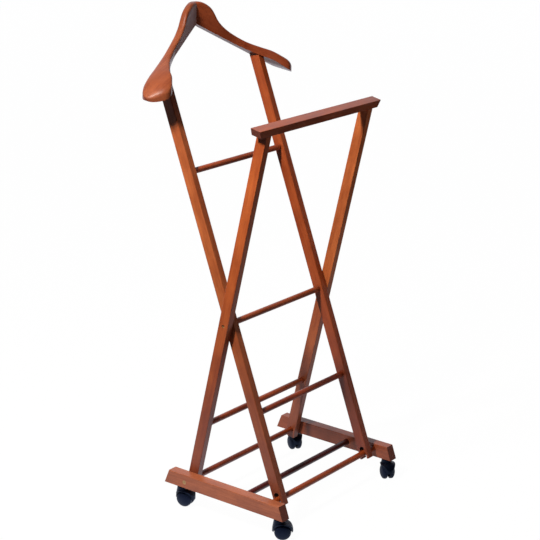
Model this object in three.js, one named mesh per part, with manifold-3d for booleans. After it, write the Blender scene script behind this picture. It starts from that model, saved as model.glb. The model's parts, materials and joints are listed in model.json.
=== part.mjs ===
// A folding wooden valet stand on four twin-wheel casters. Two pairs of legs cross like an X: the pair that
// carries the trouser bar turns on the feet, and the pair that carries the suit hanger turns on the first
// pair and hooks over a rung between the feet. Millimetres and degrees, +Z up, the front faces -Y.
import * as THREE from "three";
import { mergeVertices } from "three/addons/utils/BufferGeometryUtils.js";
import Module from "manifold-3d";

const wasm = await Module();
wasm.setup();

// Fits, edges and facets
const fitGap = 0.3;
const cutOverrun = 2;
const easedEdge = 1.2;
const edgeFacets = 2;
const roundFacets = 24;
const smallFacets = 16;
const hiddenFacets = 12;

// Feet
const overFeet = 430;
const footLength = 315;
const footHeight = 30.5;
const footThickness = 24;
const footEndSlope = 11.5;
const footRungForward = 38.7;
const hookRungForward = 109.8;
const hookRungHeight = 19.5;
const pivotBack = 103.5;
const pivotHeight = 13.2;
const footSocketDepth = 12;

// Legs
const legThickness = 17;
const legDepth = 24;
const legSpacing = 3;
const trouserLean = 11.73;
const trouserLegTail = 17.6;
const crossingReach = 369.4;
const hangerSeatRise = 529.5;

// Rungs, given along the legs from the pivot or from the crossing
const rungDiameter = 13;
const rungSocketDepth = 8;
const rearShoeRungReach = 131.3;
const upperRungRise = 323.9;
const frontShoeRungDrop = 196.5;

// Hook slot at the lower end of each hanger leg
const hookSlotWidth = 11.5;
const hookSlotRise = 15.4;
const hookMouthWidth = 14;
const hookTineLength = 13;

// Trouser bar
const barReach = 794.2;
const barEndInset = 1;
const barHeight = 16;
const barDepth = 24.5;
const barEndUndercut = 8;

// Suit hanger: its height is measured above its straight underside
const hangerReach = 237.5;
const undersideSlope = 27.2;
const crownHeight = 54;
const shoulderDepth = 62;
const mitreBack = 60;
const backSweep = 14.8;
const shoulderRoll = 6.8;
const rollLength = 18;
const tipLength = 27;
const tipBluntness = 2.2;
const tipLift = 5;
const domeSquareness = 3;
const hangerStations = 19;
const tipStations = 6;
const domeFacets = 10;

// Each row pairs a share of the hanger's reach with a share of the size it is named for
const heightShares = [
  [0, 0.82],
  [0.06, 0.98],
  [0.125, 1.01],
  [0.185, 0.93],
  [0.25, 0.61],
  [0.33, 0.44],
  [0.43, 0.37],
  [0.56, 0.335],
  [0.7, 0.38],
  [0.85, 0.455],
  [1, 0.31],
];
const depthShares = [
  [0, 0.3],
  [0.33, 0.29],
  [0.43, 0.29],
  [0.5, 0.33],
  [0.57, 0.405],
  [0.64, 0.55],
  [0.7, 0.7],
  [0.75, 0.87],
  [0.86, 1],
  [1, 0.7],
];
const rimShares = [
  [0, 0.8],
  [0.25, 0.62],
  [0.36, 0.6],
  [0.5, 0.42],
  [0.65, 0.5],
  [0.8, 0.47],
  [1, 0.2],
];

// Dowels hidden in the joints
const pinDiameter = 8;
const pinInLeg = 25;
const pinInBar = 10;
const pinInHanger = 13;
const mitrePinInHalf = 14;
const mitrePinDiameter = 6;
const mitrePinRise = 22;
const mitrePinInset = 9;

// Screws and the washers that space the moving legs
const footScrew = { head: 9, shank: 4.2, length: 56, sunk: 2.6, seat: 0 };
const crossScrew = { head: 6.8, shank: 3.8, length: 41, sunk: 1.8, seat: 2.4 };
const crossSeat = 4.5;
const recessWidth = 1.1;
const recessShare = 0.55;
const recessDepth = 1.3;
const washerDiameter = 18;

// Casters
const casterHeight = 45;
const wheelDiameter = 35;
const casterTrail = 8;
const frontCasterForward = 140;
const rearCasterBack = 117;
const hoodLength = 44;
const hoodWidth = 33;
const hoodRise = 20.7;
const hoodCrown = 1.5;
const crownRings = 2;
const pocketClearance = 1.1;
const webThickness = 5;
const neckDiameter = 22;
const axleDiameter = 4;
const axleBoss = 5.5;
const wheelClearance = 0.4;
const wheelWidth = 13.2;
const treadInnerRound = 2.6;
const treadWidth = 2.6;
const wheelRim = 4;
const wheelRecess = 5;
const hubDiameter = 11;
const axleInWheel = 8;
const domeRings = 3;
const stemDiameter = 8;
const stemInNeck = 6.5;
const stemRise = 22;
const sleeveWall = 1.2;
const sleeveFlange = 20;
const sleeveFlangeThickness = 1.2;
const sleeveRise = 24;

// Places worked out from the sizes above
const footInner = overFeet / 2 - footThickness;
const trouserLegX = footInner - legSpacing - legThickness / 2;
const hangerLegX = trouserLegX - legThickness - legSpacing;
const trouserLegInner = trouserLegX - legThickness / 2;
const hangerLegInner = hangerLegX - legThickness / 2;
const trouserLegOuter = trouserLegX + legThickness / 2;
const hangerLegOuter = hangerLegX + legThickness / 2;
const casterX = overFeet / 2 - footThickness / 2;
const lean = THREE.MathUtils.degToRad(trouserLean);
const pivot = new THREE.Vector3(0, pivotBack, casterHeight + pivotHeight);
const crossing = new THREE.Vector3(0, -Math.sin(lean), Math.cos(lean))
  .multiplyScalar(crossingReach)
  .add(pivot);
const hookRung = new THREE.Vector3(0, -hookRungForward, casterHeight + hookRungHeight);
const hookReach = crossing.distanceTo(hookRung);
const hangerLean = Math.atan2(crossing.y - hookRung.y, crossing.z - hookRung.z);
const slope = Math.tan(THREE.MathUtils.degToRad(undersideSlope));
const sweep = Math.tan(THREE.MathUtils.degToRad(backSweep));
const roll = Math.tan(THREE.MathUtils.degToRad(shoulderRoll));
const apexRise = hangerLegX * slope;
const barLength = overFeet - 2 * barEndInset;

const paint = (color, roughness, metalness = 0) =>
  new THREE.MeshStandardMaterial({ color, roughness, metalness });
const finishes = {
  beech: () => paint(0x8a3f1e, 0.35),
  brass: () => paint(0xc9a75a, 0.35, 1),
  steel: () => paint(0xb8babd, 0.3, 1),
  nylon: () => paint(0x14161c, 0.45),
  dowelWood: () => paint(0xc79a66, 0.7),
};

// Scene graph
const rack = new THREE.Group();
const standing = new THREE.Group();
const base = new THREE.Group();
const trouserFrame = new THREE.Group();
const hangerFrame = new THREE.Group();
const hanger = new THREE.Group();
rack.add(standing);
standing.add(base, trouserFrame, hangerFrame);
hangerFrame.add(hanger);
base.position.z = casterHeight;
trouserFrame.position.copy(pivot);
trouserFrame.rotation.x = lean;
hangerFrame.position.copy(crossing);
hangerFrame.rotation.x = -hangerLean;
hanger.position.z = hangerSeatRise;
hanger.rotation.x = hangerLean;
rack.updateMatrixWorld(true);

const at = (x, y, z) => new THREE.Vector3(x, y, z);

// A closed mesh as a solid that can be cut and joined
function solid(geometry) {
  const shell = geometry.clone();
  shell.deleteAttribute("normal");
  shell.deleteAttribute("uv");
  const merged = mergeVertices(shell, fitGap / 1000);
  return new wasm.Manifold(
    new wasm.Mesh({
      numProp: 3,
      vertProperties: merged.attributes.position.array,
      triVerts: new Uint32Array(merged.index.array),
    }),
  );
}

function cut(blank, ...cutters) {
  return cutters.reduce((left, cutter) => left.subtract(solid(cutter)), blank);
}

function piece(name, finish, shape, parent) {
  const made = shape.isBufferGeometry ? solid(shape) : shape;
  const mesh = made.getMesh();
  const geometry = new THREE.BufferGeometry();
  geometry.setAttribute("position", new THREE.BufferAttribute(mesh.vertProperties, 3));
  geometry.setIndex(new THREE.BufferAttribute(mesh.triVerts, 1));
  const faceted = geometry.toNonIndexed();
  faceted.computeVertexNormals();
  const node = new THREE.Mesh(faceted, finishes[finish]());
  node.name = name;
  parent.add(node);
  return node;
}

// A round bar from one point to another
function rod(diameter, from, to, facets = roundFacets) {
  const along = to.clone().sub(from);
  const radius = diameter / 2;
  const bar = new THREE.CylinderGeometry(radius, radius, along.length(), facets);
  bar.applyQuaternion(new THREE.Quaternion().setFromUnitVectors(at(0, 1, 0), along.normalize()));
  const middle = from.clone().add(to).divideScalar(2);
  return bar.translate(middle.x, middle.y, middle.z);
}

// A geometry made in one group's frame, carried to another group's frame
function carried(geometry, from, to) {
  const move = to.matrixWorld.clone().invert().multiply(from.matrixWorld);
  return geometry.applyMatrix4(move);
}

// A rectangular lath with eased long edges, standing on z = 0
function lath(width, depth, length) {
  const x = width / 2;
  const y = depth / 2;
  const section = new THREE.Shape();
  section.absarc(x - easedEdge, y - easedEdge, easedEdge, 0, Math.PI / 2);
  section.absarc(easedEdge - x, y - easedEdge, easedEdge, Math.PI / 2, Math.PI);
  section.absarc(easedEdge - x, easedEdge - y, easedEdge, Math.PI, 1.5 * Math.PI);
  section.absarc(x - easedEdge, easedEdge - y, easedEdge, 1.5 * Math.PI, 2 * Math.PI);
  return new THREE.ExtrudeGeometry(section, {
    depth: length,
    bevelEnabled: false,
    curveSegments: edgeFacets,
  });
}

// A block with slanted ends, its long side along local X and its four-sided outline eased all round
function slantedBlock(lowLength, highLength, height, thickness) {
  const outline = new THREE.Shape([
    new THREE.Vector2(-lowLength / 2, 0),
    new THREE.Vector2(lowLength / 2, 0),
    new THREE.Vector2(highLength / 2, height),
    new THREE.Vector2(-highLength / 2, height),
  ]);
  const block = new THREE.ExtrudeGeometry(outline, {
    depth: thickness - 2 * easedEdge,
    bevelThickness: easedEdge,
    bevelSize: easedEdge,
    bevelOffset: -easedEdge,
    bevelSegments: edgeFacets,
  });
  return block.translate(0, 0, easedEdge - thickness / 2).rotateX(Math.PI / 2);
}

// A screw along +X, its head's face at x = 0 and its shank towards -X, grown all round by a clearance
function screw(size, clearance) {
  const head = size.head / 2 + clearance;
  const shank = size.shank / 2 + clearance;
  const reach = size.length + clearance;
  const top = clearance > 0 ? cutOverrun : 0;
  const profile = [
    new THREE.Vector2(0, -reach),
    new THREE.Vector2(shank, size.shank - reach),
    new THREE.Vector2(shank, -size.sunk - size.seat - clearance),
    new THREE.Vector2(head, -size.seat - clearance),
    new THREE.Vector2(head, top),
    new THREE.Vector2(0, top),
  ];
  if (size.seat === 0 && clearance === 0) profile.splice(4, 1);
  return new THREE.LatheGeometry(profile, smallFacets).rotateZ(-Math.PI / 2);
}

// The cross-shaped recess in a screw's head
function recess(size) {
  const span = size.head * recessShare;
  return [
    new THREE.BoxGeometry(2 * recessDepth, span, recessWidth),
    new THREE.BoxGeometry(2 * recessDepth, recessWidth, span),
  ];
}

// Turns what is made for the right side into its place on either side
function onSide(geometry, side, x) {
  if (side < 0) geometry.rotateZ(Math.PI);
  return geometry.translate(side * x, 0, 0);
}

const sides = { left: -1, right: 1 };

// A dowel rung between two legs or feet, with a pilot hole in each end where a screw holds it
function rung(name, parent, inner, depth, y, z, pilot) {
  const half = inner + depth - fitGap;
  const bar = solid(rod(rungDiameter, at(-half, y, z), at(half, y, z)));
  const ends = pilot ? Object.values(sides) : [];
  const pilots = ends.map((side) => onSide(screw(pilot.size, fitGap), side, pilot.x).translate(0, y, z));
  return piece(name, "beech", cut(bar, ...pilots), parent);
}

// The blind bore that a rung's end seats in
function rungSocket(side, inner, depth, y, z) {
  const bore = rungDiameter + 2 * fitGap;
  return rod(bore, at(side * (inner - cutOverrun), y, z), at(side * (inner + depth), y, z), smallFacets);
}

function pinHole(from, to, diameter = pinDiameter) {
  return rod(diameter + 2 * fitGap, from, to, hiddenFacets);
}

function footPieces() {
  const casterYs = [-frontCasterForward, rearCasterBack];
  for (const [word, side] of Object.entries(sides)) {
    const x = overFeet / 2 - footThickness / 2;
    const blank = slantedBlock(footLength, footLength - 2 * footEndSlope, footHeight, footThickness);
    blank.rotateZ(Math.PI / 2).translate(side * x, 0, 0);
    const sleeveBore = stemDiameter + 2 * (sleeveWall + 2 * fitGap);
    const cutters = casterYs.map((y) => {
      const top = at(side * casterX, y, sleeveRise + fitGap);
      return rod(sleeveBore, at(side * casterX, y, -cutOverrun), top, smallFacets);
    });
    const screwHole = onSide(screw(footScrew, fitGap), side, overFeet / 2);
    cutters.push(screwHole.translate(0, pivotBack, pivotHeight));
    cutters.push(rungSocket(side, footInner, footSocketDepth, -footRungForward, footHeight / 2));
    cutters.push(rungSocket(side, footInner, footSocketDepth, -hookRungForward, hookRungHeight));
    piece(`${word}_foot`, "beech", cut(solid(blank), ...cutters), base);
  }
  rung("foot_rung", base, footInner, footSocketDepth, -footRungForward, footHeight / 2);
  rung("hook_rung", base, footInner, footSocketDepth, -hookRungForward, hookRungHeight);
}

function trouserPieces() {
  const legTop = barReach - fitGap;
  const barLow = barLength - 2 * barEndUndercut;
  const pinTop = barReach + pinInBar;
  const bar = slantedBlock(barLow, barLength, barHeight, barDepth).translate(0, 0, barReach);
  const barHoles = [];
  for (const [word, side] of Object.entries(sides)) {
    const x = side * trouserLegX;
    const leg = lath(legThickness, legDepth, legTop + trouserLegTail).translate(x, 0, -trouserLegTail);
    const crossHole = onSide(screw(crossScrew, fitGap), side, trouserLegOuter - crossSeat + crossScrew.seat);
    const counterbore = rod(
      crossScrew.head + 2 * fitGap,
      at(side * (trouserLegOuter + cutOverrun), 0, crossingReach),
      at(side * (trouserLegOuter - crossSeat), 0, crossingReach),
      smallFacets,
    );
    const made = cut(
      solid(leg),
      rungSocket(side, trouserLegInner, rungSocketDepth, 0, 0),
      rungSocket(side, trouserLegInner, rungSocketDepth, 0, rearShoeRungReach),
      onSide(screw(footScrew, fitGap), side, overFeet / 2),
      crossHole.translate(0, 0, crossingReach),
      counterbore,
      pinHole(at(x, 0, barReach - pinInLeg), at(x, 0, barReach + cutOverrun)),
    );
    piece(`${word}_trouser_leg`, "beech", made, trouserFrame);
    barHoles.push(pinHole(at(x, 0, barReach - cutOverrun), at(x, 0, pinTop)));
    const pinFoot = at(x, 0, barReach - pinInLeg + fitGap);
    const pin = rod(pinDiameter, pinFoot, at(x, 0, pinTop - fitGap), hiddenFacets);
    piece(`${word}_bar_pin`, "dowelWood", pin, trouserFrame);
    const footScrewMade = cut(solid(screw(footScrew, 0)), ...recess(footScrew));
    const screwPiece = piece(`${word}_foot_screw`, "brass", footScrewMade, trouserFrame);
    screwPiece.position.x = side * (overFeet / 2 - fitGap);
    screwPiece.rotation.z = side < 0 ? Math.PI : 0;
    washer(`${word}_foot_washer`, trouserFrame, side * trouserLegOuter, side, footScrew);
  }
  piece("trouser_bar", "beech", cut(solid(bar), ...barHoles), trouserFrame);
  rung("rear_shoe_rung", trouserFrame, trouserLegInner, rungSocketDepth, 0, rearShoeRungReach);
  const pilot = { size: footScrew, x: overFeet / 2 };
  rung("pivot_rung", trouserFrame, trouserLegInner, rungSocketDepth, 0, 0, pilot);
}

// A spacer ring in the gap beside a leg
function washer(name, parent, from, side, size) {
  const span = (start, end) => [at(from + side * start, 0, 0), at(from + side * end, 0, 0), smallFacets];
  const ring = rod(washerDiameter, ...span(fitGap, legSpacing - fitGap));
  const hole = rod(size.shank + 2 * fitGap, ...span(-cutOverrun, legSpacing + cutOverrun));
  return piece(name, "nylon", cut(solid(ring), hole), parent);
}

// The opening that lets a hanger leg drop over the hook rung: a mouth, a round seat and a narrower slot
function hookCutter(side) {
  const seat = rungDiameter / 2 + fitGap;
  const slot = hookSlotWidth / 2;
  const mouth = Math.max(hookMouthWidth / 2, seat);
  const shoulder = Math.acos(slot / seat);
  const outline = new THREE.Shape();
  outline.moveTo(mouth, -hookTineLength - cutOverrun);
  outline.lineTo(mouth, 0);
  outline.lineTo(seat, 0);
  outline.absarc(0, 0, seat, 0, shoulder);
  outline.lineTo(slot, hookSlotRise - slot);
  outline.absarc(0, hookSlotRise - slot, slot, 0, Math.PI);
  outline.absarc(0, 0, seat, Math.PI - shoulder, Math.PI);
  outline.lineTo(-mouth, 0);
  outline.lineTo(-mouth, -hookTineLength - cutOverrun);
  const through = legThickness + 2 * cutOverrun;
  const cutter = new THREE.ExtrudeGeometry(outline, {
    depth: through,
    bevelEnabled: false,
    curveSegments: smallFacets / 2,
  });
  cutter.translate(0, 0, -through / 2).rotateX(Math.PI / 2).rotateZ(Math.PI / 2);
  return cutter.translate(side * hangerLegX, 0, -hookReach);
}

// Everything above the hanger's sloping underside, less a gap, in the hanger's frame
function undersideCutter(side) {
  const length = 2 * hangerReach;
  const block = new THREE.BoxGeometry(length, length, length);
  block.translate(0, 0, length / 2 - fitGap);
  block.rotateY(side * Math.atan(slope));
  return block.translate(side * hangerLegX, 0, 0);
}

function hangerFramePieces() {
  const legLow = hookReach + hookTineLength;
  const blankTop = hangerSeatRise + legDepth;
  for (const [word, side] of Object.entries(sides)) {
    const x = side * hangerLegX;
    const leg = lath(legThickness, legDepth, blankTop + legLow).translate(x, 0, -legLow);
    const crossHole = onSide(screw(crossScrew, fitGap), side, trouserLegOuter - crossSeat + crossScrew.seat);
    const made = cut(
      solid(leg),
      carried(undersideCutter(side), hanger, hangerFrame),
      hookCutter(side),
      crossHole,
      rungSocket(side, hangerLegInner, rungSocketDepth, 0, 0),
      rungSocket(side, hangerLegInner, rungSocketDepth, 0, upperRungRise),
      rungSocket(side, hangerLegInner, rungSocketDepth, 0, -frontShoeRungDrop),
      pinHole(at(x, 0, hangerSeatRise - pinInLeg), at(x, 0, blankTop)),
    );
    piece(`${word}_hanger_leg`, "beech", made, hangerFrame);
    const low = at(x, 0, hangerSeatRise - pinInLeg + fitGap);
    const pin = rod(pinDiameter, low, at(x, 0, hangerSeatRise + pinInHanger - fitGap), hiddenFacets);
    piece(`${word}_hanger_pin`, "dowelWood", pin, hangerFrame);
    const crossScrewMade = cut(solid(screw(crossScrew, 0)), ...recess(crossScrew));
    const screwPiece = piece(`${word}_crossing_screw`, "brass", crossScrewMade, hangerFrame);
    screwPiece.position.x = side * (trouserLegOuter - crossSeat + crossScrew.seat + fitGap);
    screwPiece.rotation.z = side < 0 ? Math.PI : 0;
    washer(`${word}_crossing_washer`, hangerFrame, side * hangerLegOuter, side, crossScrew);
  }
  const pilot = { size: crossScrew, x: trouserLegOuter - crossSeat + crossScrew.seat };
  rung("middle_rung", hangerFrame, hangerLegInner, rungSocketDepth, 0, 0, pilot);
  rung("upper_rung", hangerFrame, hangerLegInner, rungSocketDepth, 0, upperRungRise);
  rung("front_shoe_rung", hangerFrame, hangerLegInner, rungSocketDepth, 0, -frontShoeRungDrop);
}

// The value of a table of shares at a place, on a smooth curve through its rows
function shareAt(shares, place) {
  const last = shares.length - 2;
  const row = Math.min(last, Math.max(0, shares.findLastIndex(([out]) => out <= place)));
  const gradient = (low, high) => (shares[high][1] - shares[low][1]) / (shares[high][0] - shares[low][0]);
  const leaving = row === 0 ? gradient(0, 1) : gradient(row - 1, row + 1);
  const arriving = row === last ? gradient(last, last + 1) : gradient(row, row + 2);
  const [from, start] = shares[row];
  const [to, end] = shares[row + 1];
  const span = to - from;
  const t = (place - from) / span;
  const rise = t * t * (3 - 2 * t);
  const curve = span * t * (1 - t) * (leaving * (1 - t) - arriving * t);
  return start + (end - start) * rise + curve;
}

// One section of a hanger half: a flat underside, a vertical rim and a domed top.
// Beyond the leg the whole section rolls down towards the front.
function hangerSection(out) {
  const share = out / hangerReach;
  const intoTip = Math.max(0, (out - hangerReach + tipLength) / tipLength);
  const taper = (1 - intoTip ** tipBluntness) ** (1 / tipBluntness);
  const height = crownHeight * shareAt(heightShares, share);
  const depth = shoulderDepth * shareAt(depthShares, share);
  const rim = height * shareAt(rimShares, share);
  const rear = mitreBack - out * sweep;
  const middle = rear - depth / 2;
  const low = (hangerLegX - out) * slope + tipLift * (1 - taper);
  const drop = roll * THREE.MathUtils.smoothstep(out, hangerLegOuter, hangerLegOuter + rollLength);
  const corner = (across, rise) => {
    const y = middle + (depth / 2) * taper * across;
    return [out, y, low + rise + drop * (y - rear)];
  };
  const ring = [corner(-1, 0)];
  for (let step = 0; step <= domeFacets; step++) {
    const angle = (Math.PI * step) / domeFacets;
    const across = -Math.sign(Math.cos(angle)) * Math.abs(Math.cos(angle)) ** (2 / domeSquareness);
    const dome = (height - rim) * taper * Math.sin(angle) ** (2 / domeSquareness);
    ring.push(corner(across, rim + dome));
  }
  ring.push(corner(1, 0));
  return ring;
}

// A skin through equal rings of points, closed at both ends
function loft(rings, side) {
  const count = rings[0].length;
  const points = rings.flat().flatMap(([x, y, z]) => [side * x, y, z]);
  const faces = [];
  const face = (a, b, c) => faces.push(...(side > 0 ? [a, b, c] : [a, c, b]));
  for (let ring = 0; ring + 1 < rings.length; ring++) {
    for (let step = 0; step < count; step++) {
      const next = (step + 1) % count;
      const here = ring * count;
      face(here + step, here + count + step, here + next);
      face(here + next, here + count + step, here + count + next);
    }
  }
  const lastRing = (rings.length - 1) * count;
  for (let step = 1; step + 1 < count; step++) {
    face(0, step, step + 1);
    face(lastRing, lastRing + step + 1, lastRing + step);
  }
  const geometry = new THREE.BufferGeometry();
  geometry.setAttribute("position", new THREE.Float32BufferAttribute(points, 3));
  geometry.setIndex(faces);
  return geometry;
}

function hangerPieces() {
  const places = [];
  const straight = hangerReach - tipLength;
  for (let step = 0; step < hangerStations; step++) {
    places.push(fitGap / 2 + (straight * step) / hangerStations);
  }
  for (let step = 0; step <= tipStations; step++) {
    places.push(straight + tipLength * Math.sin((Math.PI * step) / (2 * tipStations + 1)));
  }
  const mitrePinY = mitreBack - mitrePinInset;
  const mitrePinZ = apexRise + mitrePinRise;
  for (const [word, side] of Object.entries(sides)) {
    const x = side * hangerLegX;
    const legPin = pinHole(at(x, 0, hangerSeatRise - pinInLeg), at(x, 0, hangerSeatRise + pinInHanger));
    const open = at(-side * cutOverrun, mitrePinY, mitrePinZ);
    const blind = at(side * mitrePinInHalf, mitrePinY, mitrePinZ);
    const half = cut(
      solid(loft(places.map(hangerSection), side)),
      carried(legPin, hangerFrame, hanger),
      pinHole(open, blind, mitrePinDiameter),
    );
    piece(`${word}_hanger_half`, "beech", half, hanger);
  }
  const reach = mitrePinInHalf - fitGap;
  const ends = [-reach, reach].map((x) => at(x, mitrePinY, mitrePinZ));
  piece("hanger_mitre_pin", "dowelWood", rod(mitrePinDiameter, ...ends, hiddenFacets), hanger);
}

// Half of a twin wheel: hollow towards the web, a narrow tread, a domed outer face and a blind axle bore
function wheelGeometry(side) {
  const radius = wheelDiameter / 2 / Math.cos(Math.PI / roundFacets);
  const bore = axleDiameter / 2 + fitGap;
  const tread = treadInnerRound + treadWidth;
  const profile = [
    new THREE.Vector2(0, axleInWheel),
    new THREE.Vector2(bore, axleInWheel),
    new THREE.Vector2(bore, 0),
    new THREE.Vector2(hubDiameter / 2, 0),
    new THREE.Vector2(hubDiameter / 2, wheelRecess),
    new THREE.Vector2(radius - wheelRim, wheelRecess),
    new THREE.Vector2(radius - wheelRim, 0),
    new THREE.Vector2(radius - treadInnerRound, 0),
    new THREE.Vector2(radius, treadInnerRound),
  ];
  for (let ring = 0; ring < domeRings; ring++) {
    const angle = (Math.PI * ring) / (2 * domeRings);
    profile.push(new THREE.Vector2(radius * Math.cos(angle), tread + (wheelWidth - tread) * Math.sin(angle)));
  }
  profile.push(new THREE.Vector2(0, wheelWidth));
  const wheel = new THREE.LatheGeometry(profile, roundFacets).rotateY(Math.PI / roundFacets);
  if (side < 0) wheel.rotateX(Math.PI);
  return wheel.translate(0, side * (webThickness / 2 + wheelClearance), 0);
}

// The hood: an arch over both wheels, oval from above, with a web between them and a neck for the stem
function hoodSolid(neckTop) {
  const pocket = wheelDiameter / 2 + pocketClearance;
  const half = hoodWidth / 2;
  const profile = [new THREE.Vector2(0, -half)];
  for (let ring = 0; ring <= crownRings; ring++) {
    const across = (2 * ring) / crownRings - 1;
    profile.push(new THREE.Vector2(hoodRise - hoodCrown * across ** 2, half * across));
  }
  profile.push(new THREE.Vector2(0, half));
  const arch = new THREE.LatheGeometry(profile, 2 * smallFacets).scale(hoodLength / 2 / hoodRise, 1, 1);
  const oval = new THREE.CylinderGeometry(half, half, 3 * hoodRise, roundFacets);
  oval.rotateX(Math.PI / 2).scale(hoodLength / hoodWidth, 1, 1);
  const boss = rod(2 * axleBoss, at(0, -webThickness / 2, 0), at(0, webThickness / 2, 0), smallFacets);
  const neck = rod(neckDiameter, at(-casterTrail, 0, 0), at(-casterTrail, 0, neckTop));
  const pockets = [-1, 1].map((side) => {
    const inside = (side * webThickness) / 2;
    return rod(2 * pocket, at(0, inside, 0), at(0, side * (hoodWidth / 2 + cutOverrun), 0), 2 * smallFacets);
  });
  const bore = stemDiameter + 2 * fitGap;
  const stemSeat = at(-casterTrail, 0, neckTop - stemInNeck);
  const stemBore = rod(bore, stemSeat, at(-casterTrail, 0, neckTop + cutOverrun), hiddenFacets);
  const axleBore = rod(axleDiameter + 2 * fitGap, at(0, -hoodWidth, 0), at(0, hoodWidth, 0), hiddenFacets);
  const below = new THREE.BoxGeometry(2 * hoodLength, 2 * hoodLength, hoodLength);
  below.translate(0, 0, -hoodLength / 2);
  const upper = cut(solid(arch).intersect(solid(oval)).add(solid(neck)), ...pockets, below);
  return cut(upper.add(solid(boss)), stemBore, axleBore);
}

// The sleeve pressed into a foot, with a flange under it
function sleeveGeometry() {
  const inner = stemDiameter / 2 + fitGap;
  const outer = inner + sleeveWall;
  const flange = sleeveFlange / 2;
  return new THREE.LatheGeometry(
    [
      new THREE.Vector2(inner, -sleeveFlangeThickness),
      new THREE.Vector2(flange, -sleeveFlangeThickness),
      new THREE.Vector2(flange, 0),
      new THREE.Vector2(outer, 0),
      new THREE.Vector2(outer, sleeveRise),
      new THREE.Vector2(inner, sleeveRise),
      new THREE.Vector2(inner, -sleeveFlangeThickness),
    ],
    smallFacets,
  ).rotateX(Math.PI / 2);
}

// The way each caster's wheels trail, in degrees from +X towards +Y
const casters = [
  { name: "left_front", side: -1, y: -frontCasterForward, turn: -54 },
  { name: "right_front", side: 1, y: -frontCasterForward, turn: -129 },
  { name: "left_rear", side: -1, y: rearCasterBack, turn: -79 },
  { name: "right_rear", side: 1, y: rearCasterBack, turn: -124 },
];

function casterPieces({ name, side, y, turn }) {
  const flangeTop = casterHeight - fitGap;
  const neckTop = flangeTop - sleeveFlangeThickness - fitGap;
  const axleHeight = wheelDiameter / 2;
  const sleeve = piece(`${name}_socket`, "nylon", sleeveGeometry(), base);
  sleeve.position.set(side * casterX, y, -fitGap);
  const swivel = new THREE.Group();
  swivel.position.set(side * casterX, y, 0);
  swivel.rotation.z = THREE.MathUtils.degToRad(turn);
  standing.add(swivel);
  const stemFoot = neckTop - stemInNeck + fitGap;
  const stem = rod(stemDiameter, at(0, 0, stemFoot), at(0, 0, casterHeight + stemRise), hiddenFacets);
  piece(`${name}_stem`, "steel", stem, swivel);
  const carriage = new THREE.Group();
  carriage.position.set(casterTrail, 0, axleHeight);
  swivel.add(carriage);
  piece(`${name}_hood`, "nylon", hoodSolid(neckTop - axleHeight), carriage);
  const axleEnd = at(0, webThickness / 2 + wheelClearance + axleInWheel - fitGap, 0);
  const axle = rod(axleDiameter, axleEnd.clone().negate(), axleEnd, hiddenFacets);
  piece(`${name}_axle`, "steel", axle, carriage);
  for (const [word, wheelSide] of [["near", 1], ["far", -1]]) {
    piece(`${name}_${word}_wheel`, "nylon", wheelGeometry(wheelSide), carriage);
  }
}

footPieces();
trouserPieces();
hangerFramePieces();
hangerPieces();
casters.forEach(casterPieces);

// The origin is on the floor, at the middle of the ground that the whole stand covers
const box = new THREE.Box3().setFromObject(standing, true);
const middle = box.getCenter(new THREE.Vector3());
standing.position.set(-middle.x, -middle.y, -box.min.z);

export default rack;
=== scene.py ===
import json
import math

import bmesh
import bpy
from mathutils import Matrix, Vector


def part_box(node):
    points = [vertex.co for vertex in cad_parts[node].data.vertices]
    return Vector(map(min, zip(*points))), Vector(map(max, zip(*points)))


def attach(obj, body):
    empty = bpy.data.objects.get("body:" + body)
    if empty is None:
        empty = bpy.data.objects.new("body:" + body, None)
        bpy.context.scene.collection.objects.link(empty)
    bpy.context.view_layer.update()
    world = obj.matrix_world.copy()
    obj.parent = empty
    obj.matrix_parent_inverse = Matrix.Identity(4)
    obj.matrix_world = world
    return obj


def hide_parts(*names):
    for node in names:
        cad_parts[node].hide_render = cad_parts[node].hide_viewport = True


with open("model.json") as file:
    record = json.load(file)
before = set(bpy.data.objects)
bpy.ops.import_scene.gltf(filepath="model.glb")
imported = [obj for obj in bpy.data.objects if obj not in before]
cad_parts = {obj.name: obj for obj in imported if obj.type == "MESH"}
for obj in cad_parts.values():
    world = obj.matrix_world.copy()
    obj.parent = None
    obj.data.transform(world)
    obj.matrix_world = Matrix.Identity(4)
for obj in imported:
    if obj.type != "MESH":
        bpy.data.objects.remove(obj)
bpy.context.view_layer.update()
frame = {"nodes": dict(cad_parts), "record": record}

MM = 0.001

# Finer facets than the solids have
DOWEL_FACETS = 48
TURNED_FACETS = 64
SCREW_FACETS = 32

# Edges, seams and cuts
PLAIN_CREASE = math.radians(52)
SHOULDER_CREASE = math.radians(38)
HOOD_CREASE = math.radians(60)
WHEEL_CREASE = math.radians(45)
HOOD_EASED_CREASE = math.radians(40)
LARGE_FACE_WEIGHT = 80
EASED_EDGE = 0.6 * MM
EASED_EDGE_SEGMENTS = 2
HOOD_EDGE_SEGMENTS = 3
DOWEL_EASE = 0.8 * MM
WELD_GAP = 0.002 * MM
SEAM_GAP = 0.01 * MM
AXIS_GAP = 0.0001 * MM
FLAT_ANGLE = math.radians(0.5)
CUT_OVERRUN = 10 * MM
CUT_WIDTH = 200 * MM

# The camera stands to the left and in front, measured from the middle of the feet
CAMERA_SIDE = -2852.0 * MM
CAMERA_BEHIND = -2037.2 * MM
CAMERA_ABOVE_FEET = 1550.4 * MM
CAMERA_YAW = math.radians(53.799)
CAMERA_PITCH = math.radians(17.314)
CAMERA_ROLL = math.radians(1.653)
CAMERA_LENS = 115.643
CAMERA_SENSOR = 36.0

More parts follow.
